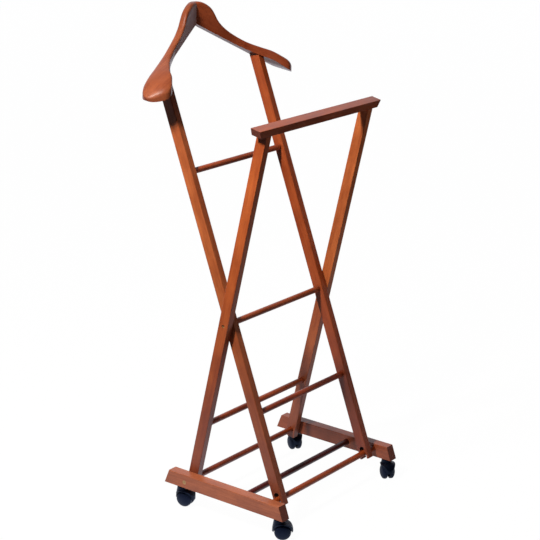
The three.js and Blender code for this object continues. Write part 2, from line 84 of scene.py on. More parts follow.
# Suit hanger: the form of the solids with finer facets, a softer and longer roll, a lower rim,
# a slightly deeper front at the shoulder and a slightly taller mitre
HANGER_REACH = 237.5 * MM
HANGER_SEAT_RISE = 529.5 * MM
UNDERSIDE_SLOPE = math.radians(27.2)
CROWN_HEIGHT = 54 * MM
SHOULDER_DEPTH = 62 * MM
MITRE_BACK = 60 * MM
BACK_SWEEP = math.radians(14.8)
SHOULDER_ROLL = math.radians(6.8)
ROLL_LENGTH = 32 * MM
TIP_LENGTH = 27 * MM
TIP_BLUNTNESS = 2.2
TIP_LIFT = 5 * MM
DOME_SQUARENESS = 3
MITRE_GAP = 0.3 * MM
HANGER_STATIONS = 90
TIP_STATIONS = 16
LAST_STATION_SHORT = 0.4
DOME_FACETS = 36
HEIGHT_SHARES = [(0, 0.86), (0.06, 0.98), (0.125, 1.01), (0.185, 0.93), (0.25, 0.61), (0.33, 0.44),
                 (0.43, 0.37), (0.56, 0.335), (0.7, 0.38), (0.85, 0.455), (1, 0.31)]
DEPTH_SHARES = [(0, 0.3), (0.33, 0.29), (0.43, 0.29), (0.5, 0.33), (0.57, 0.405), (0.64, 0.55), (0.7, 0.7),
                (0.75, 0.88), (0.86, 1.04), (1, 0.64)]
RIM_SHARES = [(0, 0.8), (0.25, 0.62), (0.36, 0.6), (0.5, 0.42), (0.65, 0.45), (0.8, 0.42), (1, 0.2)]

# Casters: the sizes of the solids, with a squarer arch, a flared neck and finer wheels
HOOD_LENGTH = 44 * MM
HOOD_WIDTH = 33 * MM
HOOD_RISE = 20.7 * MM
HOOD_CROWN = 1.5 * MM
CROWN_RINGS = 12
HOOD_EDGE = 0.7 * MM
HOOD_SQUARENESS = 2.5
POCKET_RADIUS = 18.6 * MM
WEB_THICKNESS = 5 * MM
NECK_RADIUS = 11 * MM
NECK_FOOT = 13.8 * MM
NECK_FLARE = 8 * MM
BOSS_RADIUS = 5.5 * MM
WHEEL_RADIUS = 17.5 * MM
WHEEL_WIDTH = 13.2 * MM
WHEEL_CLEARANCE = 0.4 * MM
TREAD_ROUND = 2.6 * MM
TREAD_WIDTH = 2.6 * MM
TREAD_STEPS = 8
DOME_STEPS = 18
AXLE_BORE = 2.2 * MM
AXLE_DEPTH = 8 * MM
HUB_RADIUS = 5.5 * MM
HOLLOW_DEPTH = 5 * MM
WHEEL_WALL = 4 * MM
CASTER_TRAIL = 8 * MM
STEM_SEAT = 6.5 * MM
STEM_BORE = 4.3 * MM

WHITE = (1.0, 1.0, 1.0, 1.0)

# Floor and light: places and sizes in metres, powers in watts
FLOOR_RADIUS = 40
FLOOR_FACETS = 96
FLOOR_SEEN = 0.98
FLOOR_TONE = 0.02
FLOOR_ROUGHNESS = 0.9
FLOOR_SHEEN = 0.1
POOL_MIDDLE = (0.1, -0.05, 0)
POOL_INNER = 0.25
POOL_OUTER = 1.4
POOL_GLOSS = 0.6
POOL_FILL = 0.5
POOL_COLOR = (0.85, 0.9, 1.0, 1)
GLARE_MIDDLE = (-0.3, 0.15, 0)
GLARE_INNER = 0.25
GLARE_OUTER = 0.6
GLARE_GLOSS = 0.7
SWEEP_RUN = (0.5, 0.87, 0)
SWEEP_START = 0.9
SWEEP_END = 1.9
SWEEP_GLOSS = 1.7
ROOM_FRONT = 0.01
ROOM_BACK = 0.9
ROOM_FRONT_ENDS = 0.35
ROOM_BACK_STARTS = 0.9
ROOM_COLOR = (0.92, 0.92, 1.0, 1)
AIM_HEIGHT = 550 * MM
KEY_POWER = 56
KEY_COLOR = (1.0, 0.96, 0.9)
KEY_DISTANCE = 2.0
KEY_HEIGHT = math.radians(47.7)
KEY_BEHIND = math.radians(5)
KEY_SIZE = (0.3, 0.2)
GLINT_POWER = 32
GLINT_SIZE = (0.25, 0.6)
FILL_POWER = 9
FILL_COLOR = (1.0, 0.92, 0.86)
FILL_SPOT = (1.7, -1.4, 0.35)
FILL_SIZE = (1.0, 0.6)

# The light and dark streaks of each lath, as the eye reads them; they differ from lath to lath
STAINS = {
    "left_foot": ((190, 108, 71), (153, 80, 51)),
    "right_foot": ((162, 85, 55), (130, 63, 38)),
    "left_trouser_leg": ((189, 96, 47), (152, 67, 31)),
    "right_trouser_leg": ((199, 109, 58), (159, 77, 38)),
    "left_hanger_leg": ((186, 101, 55), (149, 71, 36)),
    "right_hanger_leg": ((173, 83, 39), (139, 57, 24)),
    "left_hanger_half": ((147, 79, 48), (115, 52, 30)),
    "right_hanger_half": ((159, 77, 44), (127, 53, 28)),
    "trouser_bar": ((163, 79, 40), (130, 55, 25)),
    "upper_rung": ((166, 76, 38), (118, 46, 21)),
    "middle_rung": ((166, 80, 40), (118, 48, 23)),
    "pivot_rung": ((136, 56, 23), (96, 33, 11)),
    "rear_shoe_rung": ((166, 74, 33), (118, 45, 18)),
    "front_shoe_rung": ((158, 66, 29), (112, 39, 15)),
    # The foot rung is set far darker than the other rungs
    "foot_rung": ((88, 24, 18), (60, 14, 10)),
    "hook_rung": ((166, 72, 28), (118, 44, 14)),
}
END_STAIN = (88, 35, 20)
RAW_STAINS = ((205, 160, 110), (180, 130, 84))
RAW_END_STAIN = (150, 104, 64)
STAINED_FLECK = 0.5
RAW_FLECK = 0.3

# Painted shade: the legs' colour grows duller and darker towards the floor, in place of light falling off low
# down
LOW_SHADE = (100, 50, 46)
LOW_SHADE_FROM = 50 * MM
LOW_SHADE_TO = 500 * MM
LOW_SHADING = 0.6

# Painted shade: the walls of the hook slots are coloured dark above the rung they hang on, where shade falls
# in the recess
SLOT_SHADE_RISE = 9.6 * MM
SLOT_SHADE_RADIUS = 6.1 * MM
SLOT_SHADE = (16, 8, 6)

# Marks in beech: how fine they are, how far they run and how broken up they look
STREAKS = {"scale": 420, "run_shares": (1, 1, 0.045), "detail": 5, "roughness": 0.62, "distortion": 0.15}
BANDS = {"scale": 70, "run_shares": (1, 1, 0.08), "detail": 3, "roughness": 0.5, "distortion": 0.6}
MOTTLE = {"scale": 22, "run_shares": (1, 1, 0.5), "detail": 4, "roughness": 0.6, "distortion": 0}
RAYS = {"scale": 1500, "run_shares": (1, 1, 0.22), "detail": 1, "roughness": 0.4, "distortion": 0}
STREAK_SHARE = 0.35
BAND_SHARE = 0.3
MOTTLE_SHARE = 0.35
DARK_BELOW = 0.38
LIGHT_ABOVE = 0.62
MOTTLE_LOW = 0.3
MOTTLE_HIGH = 0.7
CLOUD_DARKEST = 0.9
CLOUD_LIGHTEST = 1.08
FLECKS_FROM = 0.66
FLECKS_FULL = 0.74
END_GRAIN_FROM = 0.55
END_GRAIN_FULL = 0.95
END_GRAIN_COVER = 0.85
WOOD_GLOSSIEST = 0.36
WOOD_DULLEST = 0.46
END_GRAIN_DULLING = 0.2
STREAK_RELIEF = 0.4
FLECK_RELIEF = 0.6
WOOD_RELIEF = 0.06 * MM
WOOD_BUMP = 0.6
NEARLY_ALONG = 0.9
SHEEN_LEVEL = 0.35
LACQUER_WEIGHT = 0.15
LACQUER_ROUGHNESS = 0.3

# Wear of nylon and metal
SPECKLE_DETAIL = 3
WEAR_SCALE = 60
WEAR_DETAIL = 4
WEAR_ROUGHNESS = 0.6
SETTLES_FROM = 0.2
DUST_FROM = 0.4
DUST_FULL = 0.65
GLOSS_SMOOTHER = -0.06
GLOSS_ROUGHER = 0.08
DUST_DULLING = 0.8
WEAR_BUMP = 0.5
NYLON_SHEEN = (0.45, 0.6, 1.0, 1.0)

SIDES = {"left": -1, "right": 1}


def joint_of(name):
    """The place and the axis of a joint"""
    joint = next(row for row in frame["record"]["behaviour"]["joints"] if row["name"] == name)
    return Vector(joint["pos_m"]), Vector(joint["axis"])


def box_middle(node):
    low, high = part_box(node)
    return (Vector(low) + Vector(high)) / 2


pivot, _ = joint_of("trouser_frame_fold")
crossing, _ = joint_of("hanger_frame_fold")
trouser_up = (crossing - pivot).normalized()
hanger_up = (crossing - box_middle("hook_rung")).normalized()
hanger_seat = crossing + hanger_up * HANGER_SEAT_RISE
slot_top = box_middle("hook_rung") + hanger_up * SLOT_SHADE_RISE
foot_low, foot_high = (Vector(corner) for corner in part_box("left_foot"))


def place_camera():
    flat = math.cos(CAMERA_PITCH)
    look = Vector((math.sin(CAMERA_YAW) * flat, math.cos(CAMERA_YAW) * flat, -math.sin(CAMERA_PITCH)))
    level = Vector((math.cos(CAMERA_YAW), -math.sin(CAMERA_YAW), 0))
    above = level.cross(look)
    right = level * math.cos(CAMERA_ROLL) + above * math.sin(CAMERA_ROLL)
    up = above * math.cos(CAMERA_ROLL) - level * math.sin(CAMERA_ROLL)
    camera = bpy.data.cameras.new("camera")
    camera.sensor_width = CAMERA_SENSOR
    camera.lens = CAMERA_LENS
    holder = bpy.data.objects.new("camera", camera)
    turn = Matrix((right, up, -look)).transposed().to_4x4()
    mid_foot = (foot_low.y + foot_high.y) / 2
    spot = Vector((CAMERA_SIDE, mid_foot + CAMERA_BEHIND, foot_low.z + CAMERA_ABOVE_FEET))
    holder.matrix_world = Matrix.Translation(spot) @ turn
    bpy.context.scene.collection.objects.link(holder)
    bpy.context.scene.camera = holder


# Shader helpers: the numbers are the colour sockets of the mix node, which share their names with others
MIX_FIRST = 6
MIX_SECOND = 7
MIX_RESULT = 2


def new_group(name, inputs, outputs):
    group = bpy.data.node_groups.new(name, "ShaderNodeTree")
    for label, kind in inputs:
        group.interface.new_socket(label, in_out="INPUT", socket_type=kind)
    for label, kind in outputs:
        group.interface.new_socket(label, in_out="OUTPUT", socket_type=kind)
    start = group.nodes.new("NodeGroupInput")
    end = group.nodes.new("NodeGroupOutput")
    return group, start, end


def wire(tree, source, target):
    tree.links.new(source, target)


def math_node(tree, operation, first, second=None, clamp=False):
    node = tree.nodes.new("ShaderNodeMath")
    node.operation = operation
    node.use_clamp = clamp
    for slot, value in enumerate((first, second)):
        if value is None:
            continue
        if isinstance(value, (int, float)):
            node.inputs[slot].default_value = value
        else:
            wire(tree, value, node.inputs[slot])
    return node.outputs[0]


def remap(tree, value, low, high, to_low=0.0, to_high=1.0):
    node = tree.nodes.new("ShaderNodeMapRange")
    wire(tree, value, node.inputs["Value"])
    node.inputs["From Min"].default_value = low
    node.inputs["From Max"].default_value = high
    node.inputs["To Min"].default_value = to_low
    node.inputs["To Max"].default_value = to_high
    return node.outputs["Result"]


def mix_colors(tree, amount, first, second, blend="MIX"):
    node = tree.nodes.new("ShaderNodeMix")
    node.data_type = "RGBA"
    node.blend_type = blend
    for socket, value in (("Factor", amount), (MIX_FIRST, first), (MIX_SECOND, second)):
        if isinstance(value, (int, float, tuple)):
            node.inputs[socket].default_value = value
        else:
            wire(tree, value, node.inputs[socket])
    return node.outputs[MIX_RESULT]


def noise(tree, vector, scale, detail, roughness, distortion=0.0):
    node = tree.nodes.new("ShaderNodeTexNoise")
    wire(tree, vector, node.inputs["Vector"])
    node.inputs["Scale"].default_value = scale
    node.inputs["Detail"].default_value = detail
    node.inputs["Roughness"].default_value = roughness
    node.inputs["Distortion"].default_value = distortion
    return node.outputs["Fac"]


def vector_node(tree, operation, vector, second):
    node = tree.nodes.new("ShaderNodeVectorMath")
    node.operation = operation
    wire(tree, vector, node.inputs[0])
    node.inputs[1].default_value = second
    return node


def stretch(tree, vector, shares):
    return vector_node(tree, "MULTIPLY", vector, shares).outputs["Vector"]


def reach_along(tree, vector, direction):
    return vector_node(tree, "DOT_PRODUCT", vector, direction).outputs["Value"]


def distance_from(tree, vector, spot):
    return vector_node(tree, "DISTANCE", vector, spot).outputs["Value"]


def height_of(tree, vector):
    split = tree.nodes.new("ShaderNodeSeparateXYZ")
    wire(tree, vector, split.inputs[0])
    return split.outputs["Z"]


def rgb(red, green, blue):
    """A colour given as the eye reads it, 0 to 255, as linear light"""
    def linear(value):
        share = value / 255
        return share / 12.92 if share <= 0.04045 else ((share + 0.055) / 1.055) ** 2.4
    return (linear(red), linear(green), linear(blue), 1.0)


def marks(tree, place, kind):
    """One kind of mark in the wood, drawn out along the grain"""
    run = stretch(tree, place, kind["run_shares"])
    return noise(tree, run, kind["scale"], kind["detail"], kind["roughness"], kind["distortion"])


def make_beech_grain():
    """Stained beech: streaks along the grain, short ray flecks, a slow mottle and darker end grain"""
    group, start, end = new_group(
        "beech grain",
        [("Place", "NodeSocketVector"), ("Facing Along", "NodeSocketFloat"),
         ("Light Stain", "NodeSocketColor"), ("Dark Stain", "NodeSocketColor"),
         ("End Stain", "NodeSocketColor"), ("Fleck", "NodeSocketFloat")],
        [("Color", "NodeSocketColor"), ("Roughness", "NodeSocketFloat"), ("Height", "NodeSocketFloat")])
    place = start.outputs["Place"]
    streaks = marks(group, place, STREAKS)
    bands = marks(group, place, BANDS)
    mottle = marks(group, place, MOTTLE)
    rays = marks(group, place, RAYS)

    streak_part = math_node(group, "MULTIPLY", streaks, STREAK_SHARE)
    band_part = math_node(group, "MULTIPLY", bands, BAND_SHARE)
    mottle_part = math_node(group, "MULTIPLY", mottle, MOTTLE_SHARE)
    blend = math_node(group, "ADD", math_node(group, "ADD", streak_part, band_part), mottle_part)
    tone = remap(group, blend, DARK_BELOW, LIGHT_ABOVE)
    stain = mix_colors(group, tone, start.outputs["Dark Stain"], start.outputs["Light Stain"])
    cloud = remap(group, mottle, MOTTLE_LOW, MOTTLE_HIGH, CLOUD_DARKEST, CLOUD_LIGHTEST)
    shade = group.nodes.new("ShaderNodeCombineColor")
    for channel in range(3):
        wire(group, cloud, shade.inputs[channel])
    clouded = mix_colors(group, 1.0, stain, shade.outputs[0], "MULTIPLY")

    fleck = remap(group, rays, FLECKS_FROM, FLECKS_FULL)
    fleck_amount = math_node(group, "MULTIPLY", fleck, start.outputs["Fleck"], clamp=True)
    flecked = mix_colors(group, fleck_amount, clouded, start.outputs["End Stain"])
    facing = math_node(group, "ABSOLUTE", start.outputs["Facing Along"])
    end_grain = remap(group, facing, END_GRAIN_FROM, END_GRAIN_FULL)
    end_mask = math_node(group, "MULTIPLY", end_grain, END_GRAIN_COVER, clamp=True)
    wire(group, mix_colors(group, end_mask, flecked, start.outputs["End Stain"]), end.inputs["Color"])

    gloss = remap(group, mottle, MOTTLE_LOW, MOTTLE_HIGH, WOOD_GLOSSIEST, WOOD_DULLEST)
    rough = math_node(group, "ADD", gloss, math_node(group, "MULTIPLY", end_mask, END_GRAIN_DULLING))
    wire(group, rough, end.inputs["Roughness"])
    raised = math_node(group, "MULTIPLY", streaks, STREAK_RELIEF)
    height = math_node(group, "SUBTRACT", raised, math_node(group, "MULTIPLY", fleck, FLECK_RELIEF))
    wire(group, height, end.inputs["Height"])
    return group


def make_painted_low_shade():
    """Painted shade: a duller, darker colour that grows towards the floor"""
    group, start, end = new_group(
        "painted low shade",
        [("Place", "NodeSocketVector"), ("Unshaded", "NodeSocketColor")],
        [("Color", "NodeSocketColor")])
    low = remap(group, height_of(group, start.outputs["Place"]), LOW_SHADE_FROM, LOW_SHADE_TO, LOW_SHADING, 0)
    wire(group, mix_colors(group, low, start.outputs["Unshaded"], rgb(*LOW_SHADE)), end.inputs["Color"])
    return group


def make_painted_slot_shade():
    """Painted shade: dark walls round the top of the hook slots"""
    group, start, end = new_group(
        "painted slot shade",
        [("Place", "NodeSocketVector"), ("Unshaded", "NodeSocketColor")],
        [("Color", "NodeSocketColor")])
    seen_from_side = stretch(group, start.outputs["Place"], (0, 1, 1))
    away = distance_from(group, seen_from_side, (0, slot_top.y, slot_top.z))
    inside = math_node(group, "LESS_THAN", away, SLOT_SHADE_RADIUS)
    wire(group, mix_colors(group, inside, start.outputs["Unshaded"], rgb(*SLOT_SHADE)), end.inputs["Color"])
    return group


def make_fine_wear():
    """Moulded plastic or metal: a fine mottle of the surface and a little dust in its upper faces"""
    group, start, end = new_group(
        "fine wear",
        [("Place", "NodeSocketVector"), ("Facing Up", "NodeSocketFloat"),
         ("Base", "NodeSocketColor"), ("Dust", "NodeSocketColor"), ("Dust Amount", "NodeSocketFloat"),
         ("Gloss Roughness", "NodeSocketFloat"), ("Texture Scale", "NodeSocketFloat")],
        [("Color", "NodeSocketColor"), ("Roughness", "NodeSocketFloat"), ("Height", "NodeSocketFloat")])
    place = start.outputs["Place"]
    speckle = group.nodes.new("ShaderNodeTexNoise")
    wire(group, place, speckle.inputs["Vector"])
    wire(group, start.outputs["Texture Scale"], speckle.inputs["Scale"])
    speckle.inputs["Detail"].default_value = SPECKLE_DETAIL
    wire(group, speckle.outputs["Fac"], end.inputs["Height"])

    cloud = noise(group, place, WEAR_SCALE, WEAR_DETAIL, WEAR_ROUGHNESS)
    upward = remap(group, start.outputs["Facing Up"], SETTLES_FROM, 1)
    settled = math_node(group, "MULTIPLY", upward, remap(group, cloud, DUST_FROM, DUST_FULL))
    amount = math_node(group, "MULTIPLY", settled, start.outputs["Dust Amount"], clamp=True)
    wire(group, mix_colors(group, amount, start.outputs["Base"], start.outputs["Dust"]), end.inputs["Color"])

    swing = remap(group, cloud, MOTTLE_LOW, MOTTLE_HIGH, GLOSS_SMOOTHER, GLOSS_ROUGHER)
    gloss = math_node(group, "ADD", start.outputs["Gloss Roughness"], swing)
    rough = math_node(group, "ADD", gloss, math_node(group, "MULTIPLY", amount, DUST_DULLING), clamp=True)
    wire(group, rough, end.inputs["Roughness"])
    return group


beech_grain = make_beech_grain()
painted_low_shade = make_painted_low_shade()
painted_slot_shade = make_painted_slot_shade()
fine_wear = make_fine_wear()


def new_material(name):
    material = bpy.data.materials.new(name)
    material.use_nodes = True
    tree = material.node_tree
    return material, tree, tree.nodes["Principled BSDF"]


def use_group(tree, group, place):
    node = tree.nodes.new("ShaderNodeGroup")
    node.node_tree = group
    wire(tree, place, node.inputs["Place"])
    return node


def bump_into(tree, shader, height, distance, strength):
    bump = tree.nodes.new("ShaderNodeBump")
    bump.inputs["Distance"].default_value = distance
    bump.inputs["Strength"].default_value = strength
    wire(tree, height, bump.inputs["Height"])
    wire(tree, bump.outputs["Normal"], shader.inputs["Normal"])


def grain_place(tree, place, along, shift):
    """The place in the wood, measured across, through and along its grain"""
    helper = Vector((1, 0, 0)) if abs(along.x) < NEARLY_ALONG else Vector((0, 1, 0))
    across = along.cross(helper).normalized()
    through = along.cross(across)
    spot = tree.nodes.new("ShaderNodeCombineXYZ")
    for slot, direction in enumerate((across, through, along)):
        reach = math_node(tree, "ADD", reach_along(tree, place, direction), shift * (slot + 1))
        wire(tree, reach, spot.inputs[slot])
    return spot.outputs[0]


def wood_material(name, grain, shift, stains, ends=END_STAIN, fleck=STAINED_FLECK, painted_shades=()):
    """Lacquered beech with its grain along a direction of the stand at rest, and with any painted shade laid
    over its colour
    """
    material, tree, shader = new_material(name)
    coordinates = tree.nodes.new("ShaderNodeTexCoord")
    place = coordinates.outputs["Object"]
    along = Vector(grain).normalized()
    wood = use_group(tree, beech_grain, grain_place(tree, place, along, shift))
    wire(tree, reach_along(tree, coordinates.outputs["Normal"], along), wood.inputs["Facing Along"])
    light, dark = stains
    wood.inputs["Light Stain"].default_value = rgb(*light)
    wood.inputs["Dark Stain"].default_value = rgb(*dark)
    wood.inputs["End Stain"].default_value = rgb(*ends)
    wood.inputs["Fleck"].default_value = fleck
    color = wood.outputs["Color"]
    for group in painted_shades:
        extra = use_group(tree, group, place)
        wire(tree, color, extra.inputs["Unshaded"])
        color = extra.outputs["Color"]
    wire(tree, color, shader.inputs["Base Color"])
    wire(tree, wood.outputs["Roughness"], shader.inputs["Roughness"])
    shader.inputs["Specular IOR Level"].default_value = SHEEN_LEVEL
    shader.inputs["Coat Weight"].default_value = LACQUER_WEIGHT
    shader.inputs["Coat Roughness"].default_value = LACQUER_ROUGHNESS
    bump_into(tree, shader, wood.outputs["Height"], WOOD_RELIEF, WOOD_BUMP)
    return material


def worn_material(name, base, dust, dust_amount, gloss, texture, relief, metallic=0.0, sheen=WHITE):
    """Nylon or metal with fine wear and a little dust"""
    material, tree, shader = new_material(name)
    coordinates = tree.nodes.new("ShaderNodeTexCoord")
    wear = use_group(tree, fine_wear, coordinates.outputs["Object"])
    wire(tree, height_of(tree, coordinates.outputs["Normal"]), wear.inputs["Facing Up"])
    wear.inputs["Base"].default_value = rgb(*base)
    wear.inputs["Dust"].default_value = rgb(*dust)
    wear.inputs["Dust Amount"].default_value = dust_amount
    wear.inputs["Gloss Roughness"].default_value = gloss
    wear.inputs["Texture Scale"].default_value = texture
    wire(tree, wear.outputs["Color"], shader.inputs["Base Color"])
    wire(tree, wear.outputs["Roughness"], shader.inputs["Roughness"])
    shader.inputs["Specular IOR Level"].default_value = SHEEN_LEVEL
    shader.inputs["Metallic"].default_value = metallic
    shader.inputs["Specular Tint"].default_value = sheen
    bump_into(tree, shader, wear.outputs["Height"], relief, WEAR_BUMP)
    return material


ALONG_X = (1, 0, 0)
ALONG_Y = (0, 1, 0)
slope_run = Vector((math.cos(UNDERSIDE_SLOPE), 0, -math.sin(UNDERSIDE_SLOPE)))
GRAINS = {
    "left_foot": ALONG_Y, "right_foot": ALONG_Y,
    "left_trouser_leg": trouser_up, "right_trouser_leg": trouser_up,
    "left_hanger_leg": hanger_up, "right_hanger_leg": hanger_up,
    "left_hanger_half": (-slope_run.x, 0, slope_run.z), "right_hanger_half": slope_run,
}
# Painted shade laid over the legs' colour: darker towards the floor, and dark round the tops of the hook
# slots
PAINTED_SHADES = {"trouser_leg": [painted_low_shade], "hanger_leg": [painted_low_shade, painted_slot_shade]}

# Each lath is cut from another part of the wood
SHIFT_STEP = 0.37
RAW_SHIFT = 0.9
woods = {}
for count, (lath, stains) in enumerate(STAINS.items()):
    _, _, word = lath.partition("_")
    woods[lath] = wood_material("beech of the " + lath.replace("_", " "), GRAINS.get(lath, ALONG_X),
                                SHIFT_STEP * (count + 1), stains, painted_shades=PAINTED_SHADES.get(word, ()))
raw_dowel = wood_material("raw dowel", ALONG_X, RAW_SHIFT, RAW_STAINS, RAW_END_STAIN, RAW_FLECK)
brass = worn_material("dull brass", base=(190, 152, 104), dust=(150, 120, 90), dust_amount=0.2,
                      gloss=0.4, texture=1400, relief=0.01 * MM, metallic=0.4)
steel = worn_material("bright steel", base=(180, 180, 184), dust=(120, 116, 110), dust_amount=0.1,
                      gloss=0.28, texture=1600, relief=0.01 * MM, metallic=1.0)
black_nylon = worn_material("black nylon", base=(3, 6, 18), dust=(50, 54, 74), dust_amount=0.02,
                            gloss=0.42, texture=700, relief=0.03 * MM, sheen=NYLON_SHEEN)
wheel_nylon = worn_material("wheel nylon", base=(7, 12, 30), dust=(60, 64, 84), dust_amount=0.02,
                            gloss=0.48, texture=900, relief=0.03 * MM, sheen=NYLON_SHEEN)

# Mesh helpers


def link(name, mesh, material):
    piece = bpy.data.objects.new(name, mesh)
    bpy.context.scene.collection.objects.link(piece)
    mesh.materials.clear()
    mesh.materials.append(material)
    return piece


def shade(piece, angle=PLAIN_CREASE):
    """Smooth faces with sharp creases, and normals that favour the large faces"""
    mesh = piece.data
    work = bmesh.new()
    work.from_mesh(mesh)
    for face in work.faces:
        face.smooth = True
    for edge in work.edges:
        edge.smooth = len(edge.link_faces) == 2 and edge.calc_face_angle(0) < angle
    work.to_mesh(mesh)
    work.free()
    weighted = piece.modifiers.new("weighted normals", "WEIGHTED_NORMAL")
    weighted.keep_sharp = True
    weighted.weight = LARGE_FACE_WEIGHT


def eased(piece, width, segments, angle):
    """Rounds the sharp edges of a piece a little"""
    ease = piece.modifiers.new("eased edges", "BEVEL")
    ease.width = width
    ease.segments = segments
    ease.limit_method = "ANGLE"
    ease.angle_limit = angle


def refined(node, material, body, name, edge=0.0):
    """A welded, smoothly shaded copy of a solid whose shape is already right"""
    source = frame["nodes"][node]
    work = bmesh.new()
    work.from_mesh(source.data)
    bmesh.ops.remove_doubles(work, verts=work.verts, dist=WELD_GAP)
    bmesh.ops.dissolve_limit(work, angle_limit=FLAT_ANGLE, verts=work.verts, edges=work.edges)
    mesh = bpy.data.meshes.new(name)
    work.to_mesh(mesh)
    work.free()
    piece = link(name, mesh, material)
    if edge:
        eased(piece, edge, EASED_EDGE_SEGMENTS, PLAIN_CREASE)
    shade(piece)
    finish_piece(piece, body, node)


def finish_piece(piece, body, node):
    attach(piece, body)
    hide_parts(node)


def lathe(name, profile, facets):
    """A profile of radius and height that runs from axis to axis, turned round the Z axis"""
    work = bmesh.new()
    rings = []
    for radius, height in profile:
        if radius < AXIS_GAP:
            rings.append([work.verts.new((0, 0, height))])
            continue
        ring = []
        for step in range(facets):
            angle = 2 * math.pi * step / facets
            ring.append(work.verts.new((radius * math.cos(angle), radius * math.sin(angle), height)))
        rings.append(ring)
    for low, high in zip(rings, rings[1:]):
        for step in range(facets):
            following = (step + 1) % facets
            corners = [low[step % len(low)], low[following % len(low)], high[following % len(high)],
                       high[step % len(high)]]
            unique = []
            for corner in corners:
                if corner not in unique:
                    unique.append(corner)
            if len(unique) > 2:
                work.faces.new(unique)
    bmesh.ops.recalc_face_normals(work, faces=work.faces)
    mesh = bpy.data.meshes.new(name)
    work.to_mesh(mesh)
    work.free()
    return mesh


def moved(mesh, matrix):
    mesh.transform(matrix)
    return mesh


def turned_to(direction, spot):
    """Takes the Z axis to a direction and the origin to a place"""
    rotation = Vector((0, 0, 1)).rotation_difference(Vector(direction)).to_matrix().to_4x4()
    return Matrix.Translation(spot) @ rotation


def combine(mesh, other, operation):
    """Cuts one mesh by another, joins them or keeps what they share"""
    base = bpy.data.objects.new("blank", mesh)
    tool = bpy.data.objects.new("tool", other)
    for holder in (base, tool):
        bpy.context.scene.collection.objects.link(holder)
    change = base.modifiers.new("change", "BOOLEAN")
    change.operation = operation
    change.object = tool
    change.solver = "EXACT"
    graph = bpy.context.evaluated_depsgraph_get()
    result = bpy.data.meshes.new_from_object(base.evaluated_get(graph))
    for holder in (base, tool):
        bpy.data.objects.remove(holder)
    return result


def rod_mesh(name, radius, start, end, facets, ease=0.0):
    run = Vector(end) - Vector(start)
    length = run.length
    profile = [(0, 0), (radius, 0), (radius, length), (0, length)]
    if ease:
        inset = radius - ease
        profile = [(0, 0), (inset, 0), (radius, ease), (radius, length - ease), (inset, length), (0, length)]
    return moved(lathe(name, profile, facets), turned_to(run.normalized(), Vector(start)))


def block_mesh(name, size, matrix):
    work = bmesh.new()
    bmesh.ops.create_cube(work, size=1.0)
    bmesh.ops.scale(work, vec=size, verts=work.verts)
    mesh = bpy.data.meshes.new(name)
    work.to_mesh(mesh)
    work.free()
    return moved(mesh, matrix)


def make_dowel(node, body):
    low, high = (Vector(corner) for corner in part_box(node))
    middle = (low + high) / 2
    radius = (high.z - low.z) / 2
    left_end = (low.x, middle.y, middle.z)
    right_end = (high.x, middle.y, middle.z)
    mesh = rod_mesh(node, radius, left_end, right_end, DOWEL_FACETS, DOWEL_EASE)
    piece = link(node + "_turned", mesh, woods[node])
    shade(piece)
    finish_piece(piece, body, node)


def share_at(shares, place):
    """A smooth curve through the rows of a table of shares"""
    last = len(shares) - 2
    row = min(last, max(index for index, (out, _) in enumerate(shares) if out <= place))

    def gradient(low, high):
        return (shares[high][1] - shares[low][1]) / (shares[high][0] - shares[low][0])

    leaving = gradient(0, 1) if row == 0 else gradient(row - 1, row + 1)
    arriving = gradient(last, last + 1) if row == last else gradient(row, row + 2)
    span = shares[row + 1][0] - shares[row][0]
    t = (place - shares[row][0]) / span
    rise = t * t * (3 - 2 * t)
    curve = span * t * (1 - t) * (leaving * (1 - t) - arriving * t)
    return shares[row][1] + (shares[row + 1][1] - shares[row][1]) * rise + curve


def hanger_section(side, out, leg_x, leg_outer):
    """A flat underside, a vertical rim and a domed top; beyond the leg it all rolls down towards the front"""
    share = out / HANGER_REACH
    into_tip = max(0.0, (out - HANGER_REACH + TIP_LENGTH) / TIP_LENGTH)
    taper = (1 - into_tip ** TIP_BLUNTNESS) ** (1 / TIP_BLUNTNESS)
    height = CROWN_HEIGHT * share_at(HEIGHT_SHARES, share)
    depth = SHOULDER_DEPTH * share_at(DEPTH_SHARES, share)
    rim = height * share_at(RIM_SHARES, share)
    rear = MITRE_BACK - out * math.tan(BACK_SWEEP)
    underside = (leg_x - out) * math.tan(UNDERSIDE_SLOPE) + TIP_LIFT * (1 - taper)
    along_roll = min(1.0, max(0.0, (out - leg_outer) / ROLL_LENGTH))
    drop = math.tan(SHOULDER_ROLL) * along_roll * along_roll * (3 - 2 * along_roll)

    def corner(across, rise):
        y = rear - depth / 2 + depth / 2 * taper * across
        return hanger_seat + Vector((side * out, y, underside + rise + drop * (y - rear)))

    ring = [corner(-1, 0)]
    for step in range(DOME_FACETS + 1):
        angle = math.pi * step / DOME_FACETS
        across = -math.copysign(abs(math.cos(angle)) ** (2 / DOME_SQUARENESS), math.cos(angle))
        rise = abs(math.sin(angle)) ** (2 / DOME_SQUARENESS)
        ring.append(corner(across, rim + (height - rim) * taper * rise))
    ring.append(corner(1, 0))
    return ring


